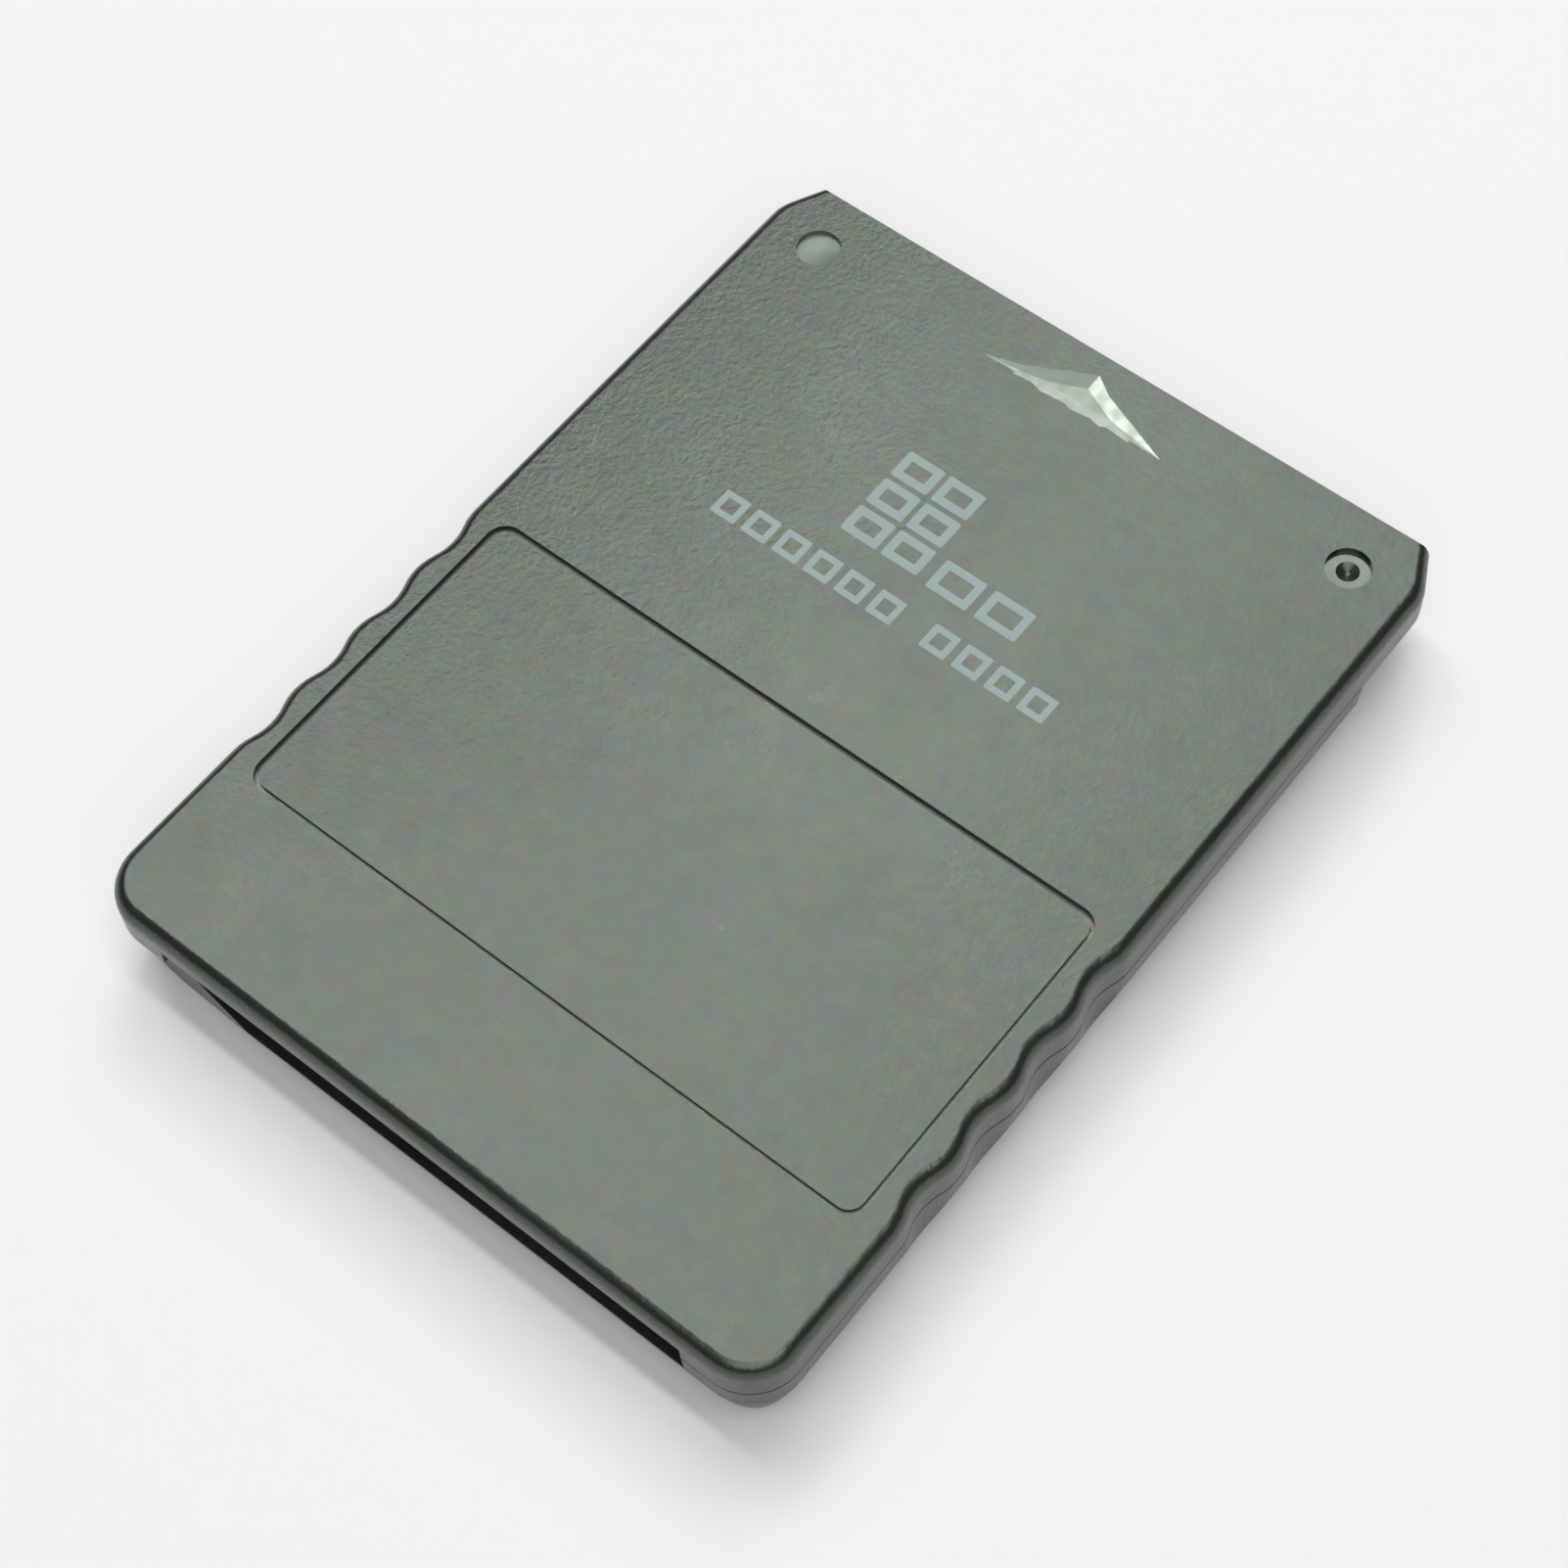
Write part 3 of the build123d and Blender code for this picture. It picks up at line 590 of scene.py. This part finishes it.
FLECKS = (
    # name, place, size across, along and upright, turn, colours
    ("crumb_rusty", (18.86, 0.00, 7.02), (0.34, 0.24, 0.10), 50, ("b9805c", "8a5236")),
    # painted highlight: this pale fleck stands for a glint on the edge of the label's line
    ("painted_glint_fleck", (18.86, -2.60, 7.00), (0.10, 0.26, 0.09), 0, ("c9cdc8", "aab0ab")),
)
KNOBS = 9
KNOB_HEIGHT = (-0.25, 0.3)             # shares of the crumb's size, hollows below zero
KNOB_SHARPNESS = 6


def grit_and_glint(name, light, dark):
    """Dry dirt, and the pale fleck that is a painted highlight: matt and mottled, rough to the eye."""
    material = blank_material(name)
    tree = material.node_tree
    place = add(tree, "ShaderNodeTexCoord").outputs["Object"]
    mottle = add(tree, "ShaderNodeTexNoise", {"Vector": place}, {"Scale": 1 / (0.12 * MM), "Detail": 3.0})
    colour = add(tree, "ShaderNodeMix", {0: mottle.outputs["Fac"]},
                 {6: linear(light), 7: linear(dark)}, data_type="RGBA")
    surface = add(tree, "ShaderNodeBsdfPrincipled", {"Base Color": colour.outputs[2]}, {"Roughness": 0.85})
    add(tree, "ShaderNodeOutputMaterial", {"Surface": surface.outputs["BSDF"]})
    return material


chance = random.Random(7)
for name, place, size, turn, colours in FLECKS:
    lump = bmesh.new()
    bmesh.ops.create_icosphere(lump, subdivisions=3, radius=0.5)
    bumps = [(Vector([chance.uniform(-1, 1) for _ in range(3)]).normalized(), chance.uniform(*KNOB_HEIGHT))
             for _ in range(KNOBS)]
    for point in lump.verts:
        way = point.co.normalized()
        point.co *= 1 + sum(height * max(0, way.dot(knob)) ** KNOB_SHARPNESS for knob, height in bumps)
    bmesh.ops.scale(lump, vec=Vector(size) * MM, verts=lump.verts)
    bmesh.ops.rotate(lump, matrix=Matrix.Rotation(math.radians(turn), 3, "Z"), verts=lump.verts)
    bmesh.ops.translate(lump, vec=Vector(place) * MM, verts=lump.verts)
    mesh = bpy.data.meshes.new(name)
    lump.to_mesh(mesh)
    lump.free()
    mesh.shade_smooth()
    mesh.materials.append(grit_and_glint(f"grit_{name}", *colours))
    fleck = put(name, mesh)
    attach(fleck, "root")


# Floor
# Matt white paper under the card. Near the card it is lit by the lamps and takes the shadow, and further
# out it fades into an evenly lit white sweep with no edge in view.

FLOOR_RADIUS = 2.0
FLOOR_DROP = 0.002 * MM                # keeps the paper clear of the card's back
FLOOR_WHITE = "f2f2f2"
SHADOW_RADIUS = (0.10, 0.30)


def white_paper(name, colour):
    """Uncoated white paper: matt and even, white to the eye all the way to the horizon."""
    material = blank_material(name)
    tree = material.node_tree
    place = add(tree, "ShaderNodeTexCoord").outputs["Object"]
    paper = add(tree, "ShaderNodeBsdfPrincipled", None,
                {"Base Color": linear(colour), "Roughness": 0.9, "IOR": 1.3})
    sweep = add(tree, "ShaderNodeEmission", None, {"Color": linear(colour)})
    distance = add(tree, "ShaderNodeVectorMath", {0: place}, operation="LENGTH")
    away = add(tree, "ShaderNodeMapRange", {"Value": distance.outputs["Value"]},
               {"From Min": SHADOW_RADIUS[0], "From Max": SHADOW_RADIUS[1]},
               interpolation_type="SMOOTHSTEP")
    surface = add(tree, "ShaderNodeMixShader",
                  {0: away.outputs["Result"], 1: paper.outputs["BSDF"], 2: sweep.outputs["Emission"]})
    add(tree, "ShaderNodeOutputMaterial", {"Surface": surface.outputs["Shader"]})
    return material


sheet = bmesh.new()
bmesh.ops.create_circle(sheet, cap_ends=True, segments=96, radius=FLOOR_RADIUS)
floor_mesh = bpy.data.meshes.new("paper_floor")
sheet.to_mesh(floor_mesh)
sheet.free()
floor_mesh.transform(Matrix.Translation((0, 0, -FLOOR_DROP)))
floor_mesh.materials.append(white_paper("paper_white_matt", FLOOR_WHITE))
floor = put("paper_floor", floor_mesh)


# Light
# Long lamps hang in rows across the table, parallel to the card's short sides, as the two shadow edges
# beside the held end show. Panels between the rows give the sheen on the top, small spots and the far row
# light the arrow's facets, and a soft lamp behind the camera opens the shadows.

LAMPS = (
    # name, middle, length, width, watts, colour
    ("strip_overhead", (-0.13, 0.075, 1.0), 1.16, 0.07, 2.9, "ffffff"),
    ("panel_left", (-0.47, 0.27, 1.01), 1.00, 0.25, 2.3, "fff9fd"),
    ("panel_far_left", (-0.68, 0.30, 1.0), 0.20, 0.22, 0.45, "ffffff"),
    ("panel_middle", (-0.18, 0.47, 1.01), 0.54, 0.18, 0.5, "ffffff"),
    ("panel_spot", (-0.425, 0.465, 1.0), 0.11, 0.09, 0.50, "ffffff"),
    ("panel_small_spot", (-0.30, 0.45, 1.0), 0.10, 0.09, 0.09, "ffffff"),
    ("strip_behind", (-0.24, 0.67, 1.0), 0.86, 0.22, 1.8, "f9fffd"),
    ("strip_right", (-0.15, 0.70, 0.99), 0.24, 0.16, 0.30, "ffffff"),
    ("strip_spot", (-0.40, 0.66, 0.99), 0.16, 0.12, 0.28, "ffffff"),
    ("strip_far_behind", (-0.47, 1.05, 1.0), 0.40, 0.22, 2.3, "ffffff"),
)
FILL_PLACE = Vector((0.40, -0.44, 1.04))
FILL_SIZE = 1.1
FILL_WATTS = 8.3


def hang(name, place, aim, length, width, watts, colour):
    """A rectangular lamp at a place, facing along aim, its length across the table."""
    lamp = bpy.data.lights.new(name, "AREA")
    lamp.shape = "RECTANGLE"
    lamp.size = length
    lamp.size_y = width
    lamp.energy = watts
    lamp.color = linear(colour)[:3]
    facing = Vector(aim).to_track_quat("-Z", "Y").to_matrix().to_4x4()
    put(name, lamp).matrix_world = Matrix.Translation(place) @ facing


for name, place, length, width, watts, colour in LAMPS:
    hang(name, Vector(place), (0, 0, -1), length, width, watts, colour)
hang("fill_behind_camera", FILL_PLACE, -FILL_PLACE, FILL_SIZE, FILL_SIZE, FILL_WATTS, "ffffff")

# The room is dim overhead, and the white sweep goes on a little above the horizon.
SWEEP_TOP = (0.05, 0.14)
ROOM_DIM = "2f2f2f"
room = bpy.data.worlds.new("room")
bpy.context.scene.world = room
room.use_nodes = True
room.node_tree.nodes.clear()
way = add(room.node_tree, "ShaderNodeTexCoord").outputs["Generated"]
rise = add(room.node_tree, "ShaderNodeSeparateXYZ", {"Vector": way}).outputs["Z"]
above = add(room.node_tree, "ShaderNodeMapRange", {"Value": rise},
            {"From Min": SWEEP_TOP[0], "From Max": SWEEP_TOP[1]}, interpolation_type="SMOOTHSTEP")
shade = add(room.node_tree, "ShaderNodeMix", {0: above.outputs["Result"]},
            {6: linear(FLOOR_WHITE), 7: linear(ROOM_DIM)}, data_type="RGBA")
glow = add(room.node_tree, "ShaderNodeBackground", {"Color": shade.outputs[2]})
add(room.node_tree, "ShaderNodeOutputWorld", {"Surface": glow.outputs["Background"]})


# Camera
# Stands above the near corner and looks down at the card, at the photograph's angle and distance. The lens
# gives the photograph's perspective.

CAMERA_PLACE = Vector((54.006, -60.236, 142.456)) * MM
CAMERA_FORWARD = Vector((-0.33186, 0.36840, -0.86842))
CAMERA_ROLL = math.radians(-3.85)
SENSOR_WIDTH = 36.0                    # in millimetres, as the lens is
LENS = 72.146
NEAREST = 0.01
eye = bpy.data.cameras.new("camera")
eye.sensor_fit = "HORIZONTAL"
eye.sensor_width = SENSOR_WIDTH
eye.lens = LENS
eye.clip_start = NEAREST
camera = put("camera", eye)
turn = CAMERA_FORWARD.to_track_quat("-Z", "Y").to_matrix().to_4x4()
camera.matrix_world = Matrix.Translation(CAMERA_PLACE) @ turn @ Matrix.Rotation(CAMERA_ROLL, 4, "Z")
bpy.context.scene.camera = camera
bpy.context.scene.view_settings.view_transform = "Standard"
